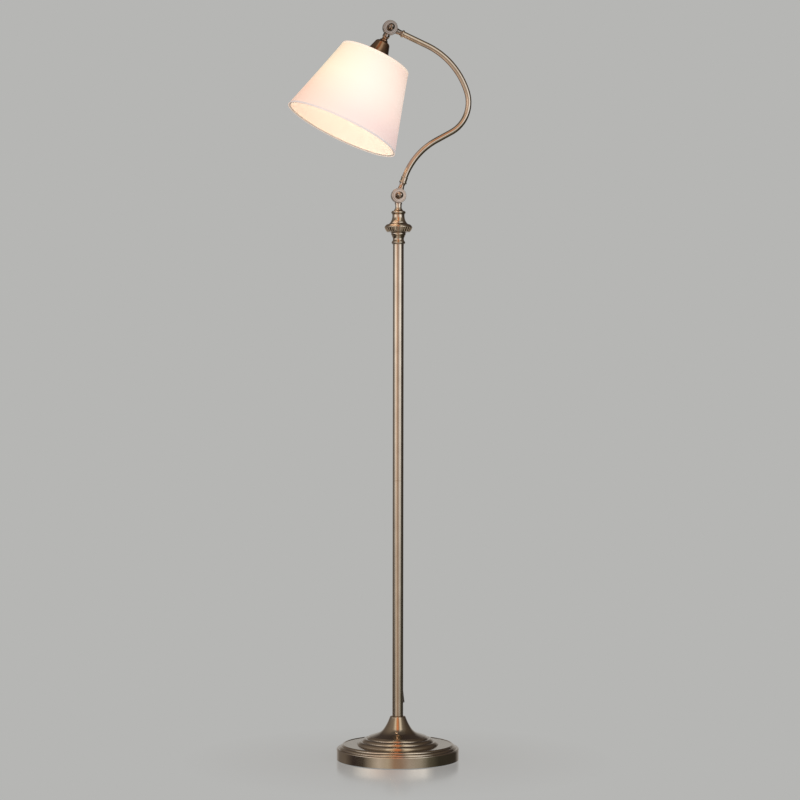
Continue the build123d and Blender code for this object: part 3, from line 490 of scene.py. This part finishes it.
FLEX = plain("flex_sheath", (0.03, 0.027, 0.025), 0.4)
FIBRE = plain("pressed_fibre", (0.22, 0.13, 0.08), 0.8)
THERMOSET = plain("holder_moulding", (0.02, 0.02, 0.02), 0.35)
ENAMEL = plain("white_enamel", (0.82, 0.80, 0.76), 0.3)
CAP_METAL = plain("rolled_cap", (0.7, 0.7, 0.68), 0.25, 1.0)
INSULATOR = plain("black_glass", (0.01, 0.01, 0.012), 0.15)

NODE_FINISH = {
    "base_cover": BASE_METAL,
    "base_weight": CAST,
    "base_pad": RUBBER,
    "lower_pole": POLE_METAL,
    "upper_pole": POLE_METAL,
    "cord_outlet": BUSH,
    "pole_collar": STACK_METAL,
    "fluted_knop": STACK_METAL,
    "vase": STACK_METAL,
    "arm_tube": ARM_METAL,
    "arm_lower_ferrule": ARM_METAL,
    "arm_upper_ferrule": ARM_METAL,
    "neck_spool": HEAD_METAL,
    "socket_cup": HEAD_METAL,
    "holder_cap": THERMOSET,
    "holder_body": THERMOSET,
    "holder_base": THERMOSET,
    "shade_nut": THERMOSET,
    "holder_screw_shell": BRASS,
    "holder_contact": BRASS,
    "bulb_contact": BRASS,
    "bulb_cap": CAP_METAL,
    "bulb_insulator": INSULATOR,
    "bulb_globe": glowing_glass("lit_frosted_glass"),
    "shade_fitter": ENAMEL,
    "shade_top_hoop": ENAMEL,
    "shade_bottom_hoop": ENAMEL,
}


def finish_of(node):
    """Finish of a CAD node: by its own name, or else by the kind of piece its name says."""
    if node in NODE_FINISH:
        return NODE_FINISH[node]
    if "knuckle" in node or "clamp" in node:
        return LIT_LOWER_KNUCKLE_METAL if node.startswith("lower") else SHADED_UPPER_KNUCKLE_METAL
    if node.endswith("wire"):
        return FLEX
    if node.endswith("friction_ring"):
        return FIBRE
    return BRASS if "insert" in node else ZINC


for node, piece in frame["nodes"].items():
    for place in piece.material_slots:
        place.material = finish_of(node)

# ---- the shade's cloth and tapes ---------------------------------------------------------
# Painted light: emission colours for the cloth, lining and tapes that stand in for the bulb shining
# through and the studio light falling on them.
FRONT_GLOW = (
    (0.00, (0.53, 0.32, 0.24)),
    (0.18, (0.57, 0.39, 0.31)),
    (0.42, (0.58, 0.42, 0.35)),
    (0.65, (0.57, 0.37, 0.32)),
    (0.88, (0.45, 0.27, 0.26)),
    (1.00, (0.41, 0.27, 0.26)),
)
FLANK_GLOW = (
    (0.00, (0.54, 0.39, 0.22)),
    (0.40, (0.58, 0.46, 0.27)),
    (0.75, (0.57, 0.29, 0.18)),
    (1.00, (0.46, 0.25, 0.17)),
)
LINING_GLOW = ((0.0, (0.44, 0.28, 0.20)), (1.0, (0.44, 0.28, 0.20)))
HEM_GLOW = (
    (0.00, (0.22, 0.20, 0.23)),
    (0.30, (0.22, 0.20, 0.23)),
    (0.50, (0.52, 0.42, 0.36)),
    (1.00, (0.52, 0.40, 0.30)),
)
RIM_GLOW = ((0.0, (0.52, 0.38, 0.28)), (1.0, (0.52, 0.38, 0.28)))
OUTSIDE = cloth_finish("shade_cloth_outside", FRONT_GLOW, FLANK_GLOW, (2600.0, 620.0), 0.6)
INSIDE = cloth_finish("shade_lining", LINING_GLOW, LINING_GLOW, (900.0, 300.0), 0.1)
HEM_TAPE = cloth_finish("shade_hem_tape", HEM_GLOW, HEM_GLOW, (2600.0, 30.0), 0.8)
RIM_TAPE = cloth_finish("shade_rim_tape", RIM_GLOW, RIM_GLOW, (2600.0, 30.0), 0.8)
cloth = shade_cloth()
cloth.data.materials.append(OUTSIDE)
cloth.data.materials.append(INSIDE)
top_tape = folded_tape("shade_top_tape", SHADE_TOP + 0.5 * MM, 4.5 * MM, 3.0 * MM, -1)
bottom_tape = folded_tape("shade_bottom_tape", SHADE_BOTTOM - 0.5 * MM, 3.6 * MM, 3.0 * MM, 1)
for tape, tape_finish in ((top_tape, RIM_TAPE), (bottom_tape, HEM_TAPE)):
    tape.data.materials.append(tape_finish)
    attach(tape, "head")
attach(cloth, "head")
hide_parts("shade_fabric")
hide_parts("shade_top_trim")
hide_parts("shade_bottom_trim")


# ---- floor, studio light and camera ---------------------------------------------------------
BACKDROP = tone(182, 182, 180)
VIEW_TURN = math.radians(-11.0)
TOWARD_CAMERA = np.array([math.sin(VIEW_TURN), -math.cos(VIEW_TURN), 0.0])
CAMERA_RIGHT = np.array([math.cos(VIEW_TURN), math.sin(VIEW_TURN), 0.0])
CAMERA_DISTANCE = 4.400
CAMERA_HEIGHT = 0.7288
LENS = 97.54
ROLL = math.radians(0.08)
AXIS_SHIFT = math.radians(0.04758)  # the lamp stands a touch left of the middle
FLOOR_REACH = 30.0
FLOOR_GLOW = 0.86
FLOOR_SHEEN = 0.40
FLOOR_FADE_START = 0.14  # from here outwards the floor turns into plain backdrop
FLOOR_FADE_WIDTH = 0.30


def studio_floor():
    """Wide plain floor: a glow like the backdrop, with sheen and soft shade near the base."""
    finish = new_finish("floor_paint")
    glow = finish.node("ShaderNodeEmission", None, Color=(*BACKDROP, 1.0), Strength=FLOOR_GLOW)
    matt = finish.node("ShaderNodeBsdfDiffuse", None, Color=(0.12, 0.12, 0.12, 1.0))
    sheen = finish.node("ShaderNodeBsdfGlossy", None, Color=(1.0, 1.0, 1.0, 1.0), Roughness=0.16)
    far = finish.node("ShaderNodeEmission", None, Color=(*BACKDROP, 1.0), Strength=1.0)
    soft = finish.node("ShaderNodeAddShader", None, glow, matt)
    near = finish.node("ShaderNodeMixShader", None, FLOOR_SHEEN, soft, sheen)
    x, y, z = finish.place()
    distance = (x * x + y * y) ** 0.5
    fade = ((distance - FLOOR_FADE_START) / FLOOR_FADE_WIDTH).clamp()
    mixed = finish.node("ShaderNodeMixShader", None, fade, near, far)
    finish.node("ShaderNodeOutputMaterial", None, mixed)
    mesh = bpy.data.meshes.new("studio_floor")
    corners = [(x * FLOOR_REACH, y * FLOOR_REACH, 0.0) for x, y in ((-1, -1), (1, -1), (1, 1), (-1, 1))]
    mesh.from_pydata(corners, [], [(0, 1, 2, 3)])
    floor = bpy.data.objects.new("studio_floor", mesh)
    bpy.context.scene.collection.objects.link(floor)
    mesh.materials.append(finish.owner)
    floor.visible_glossy = False
    floor.visible_diffuse = False


# Light by bearing from the camera's side, in degrees: near the floor, at eye height, above.
LOW_LIGHT = (
    (-180, (0.46, 0.46, 0.45)),
    (-166, (0.44, 0.43, 0.42)),
    (-145, (0.20, 0.18, 0.16)),
    (-118, (0.20, 0.18, 0.16)),
    (-92, (0.05, 0.04, 0.04)),
    (-68, (0.07, 0.06, 0.05)),
    (-52, (0.42, 0.40, 0.36)),
    (-36, (0.78, 0.76, 0.72)),
    (-18, (0.66, 0.62, 0.54)),
    (-6, (0.46, 0.33, 0.25)),
    (7, (0.44, 0.34, 0.28)),
    (22, (0.56, 0.53, 0.50)),
    (44, (0.46, 0.46, 0.42)),
    (60, (0.14, 0.14, 0.11)),
    (84, (0.05, 0.05, 0.04)),
    (140, (0.05, 0.045, 0.04)),
    (166, (0.44, 0.43, 0.42)),
    (180, (0.46, 0.46, 0.45)),
)
EYE_LIGHT = (
    (-180, (0.46, 0.46, 0.45)),
    (-166, (0.44, 0.43, 0.42)),
    (-145, (0.20, 0.18, 0.16)),
    (-118, (0.20, 0.19, 0.20)),
    (-96, (0.32, 0.32, 0.33)),
    (-76, (1.20, 1.25, 1.32)),
    (-58, (1.90, 1.90, 1.95)),
    (-40, (1.50, 1.30, 1.22)),
    (-18, (0.70, 0.50, 0.40)),
    (-4, (0.58, 0.46, 0.42)),
    (10, (0.80, 0.76, 0.80)),
    (26, (1.40, 1.48, 1.62)),
    (50, (1.90, 2.05, 2.25)),
    (63, (0.70, 0.74, 0.78)),
    (74, (0.10, 0.09, 0.09)),
    (140, (0.05, 0.045, 0.045)),
    (166, (0.44, 0.43, 0.42)),
    (180, (0.46, 0.46, 0.45)),
)
HIGH_LIGHT = (
    (-180, (0.05, 0.04, 0.04)),
    (-110, (0.24, 0.21, 0.18)),
    (-62, (0.34, 0.30, 0.26)),
    (-44, (0.55, 0.50, 0.43)),
    (-30, (1.15, 1.08, 0.95)),
    (-17, (0.90, 0.66, 0.46)),
    (-7, (1.00, 0.42, 0.20)),
    (5, (0.95, 0.38, 0.17)),
    (15, (0.40, 0.30, 0.22)),
    (28, (1.20, 1.18, 1.06)),
    (42, (0.95, 0.92, 0.84)),
    (58, (0.26, 0.24, 0.21)),
    (100, (0.12, 0.10, 0.08)),
    (180, (0.05, 0.04, 0.04)),
)
OVERHEAD = (0.14, 0.13, 0.12)
EYE_RISE = (-0.14, 0.19)  # start and width of each change, by the direction's height
HIGH_RISE = (0.16, 0.30)
OVERHEAD_RISE = (0.86, 0.125)


def studio_room():
    """Plain grey room to the eye; reflections and light see soft boxes and dark flags.

    The light depends only on the bearing round the lamp and the height of the direction:
    three rings of light blend into each other upwards, and then into the overhead tone.
    """
    room = Finish(bpy.data.worlds.new("studio"))
    bpy.context.scene.world = room.owner
    way = room.node("ShaderNodeTexCoord", None, out=0)
    x, y, z = room.split(way)
    ahead = x * float(TOWARD_CAMERA[0]) + y * float(TOWARD_CAMERA[1])
    right = x * float(CAMERA_RIGHT[0]) + y * float(CAMERA_RIGHT[1])
    bearing = right.math("ARCTAN2", ahead) / (2 * math.pi) + 0.5

    def ring(lights):
        stops = [(0.5 + turn / 360, light) for turn, light in lights]
        return room.node("ShaderNodeValToRGB", {"stops": stops}, bearing)

    boxes = ring(LOW_LIGHT)
    rings = ((EYE_RISE, ring(EYE_LIGHT)), (HIGH_RISE, ring(HIGH_LIGHT)), (OVERHEAD_RISE, OVERHEAD))
    for (start, width), light in rings:
        boxes = room.blend(((z - start) / width).clamp(), boxes, light)
    seen = room.node("ShaderNodeLightPath", None, out=0)
    colour = room.blend(seen, boxes, BACKDROP)
    light = room.node("ShaderNodeBackground", None, Color=colour, Strength=1.0)
    room.node("ShaderNodeOutputWorld", None, light)


BOX_AIM = (0.0, 0.0, 0.7)
BOX_SIZE = (1.6, 1.6)
SOFT_BOXES = (
    ("key_box", (-2.6, -2.4, 2.6), 8.0, (1.0, 0.98, 0.95)),
    ("fill_box", (2.8, -2.0, 2.2), 15.0, (1.0, 0.99, 0.97)),
)


def soft_box(name, place, aim, size, power, warmth):
    """Rectangular studio lamp pointed at a spot."""
    lamp = bpy.data.lights.new(name, "AREA")
    lamp.shape = "RECTANGLE"
    lamp.size, lamp.size_y = size
    lamp.energy = power
    lamp.color = warmth
    stand = bpy.data.objects.new(name, lamp)
    bpy.context.scene.collection.objects.link(stand)
    stand.location = place
    stand.rotation_euler = (Vector(aim) - Vector(place)).to_track_quat("-Z", "Y").to_euler()
    stand.visible_glossy = False


def studio_camera():
    """Long lens at the lamp's mid height, level, a little to the left of its front."""
    camera = bpy.data.cameras.new("camera")
    camera.lens = LENS
    camera.sensor_width = 36.0
    camera.clip_end = 60.0
    stand = bpy.data.objects.new("camera", camera)
    bpy.context.scene.collection.objects.link(stand)
    spot = TOWARD_CAMERA * CAMERA_DISTANCE
    stand.location = (spot[0], spot[1], CAMERA_HEIGHT)
    level = Euler((math.pi / 2, 0.0, VIEW_TURN - AXIS_SHIFT)).to_matrix()
    stand.rotation_euler = (level @ Matrix.Rotation(ROLL, 3, "Z")).to_euler()
    bpy.context.scene.camera = stand


studio_floor()
studio_room()
studio_camera()
for name, place, power, warmth in SOFT_BOXES:
    soft_box(name, place, BOX_AIM, BOX_SIZE, power, warmth)
bpy.context.scene.view_settings.view_transform = "Standard"
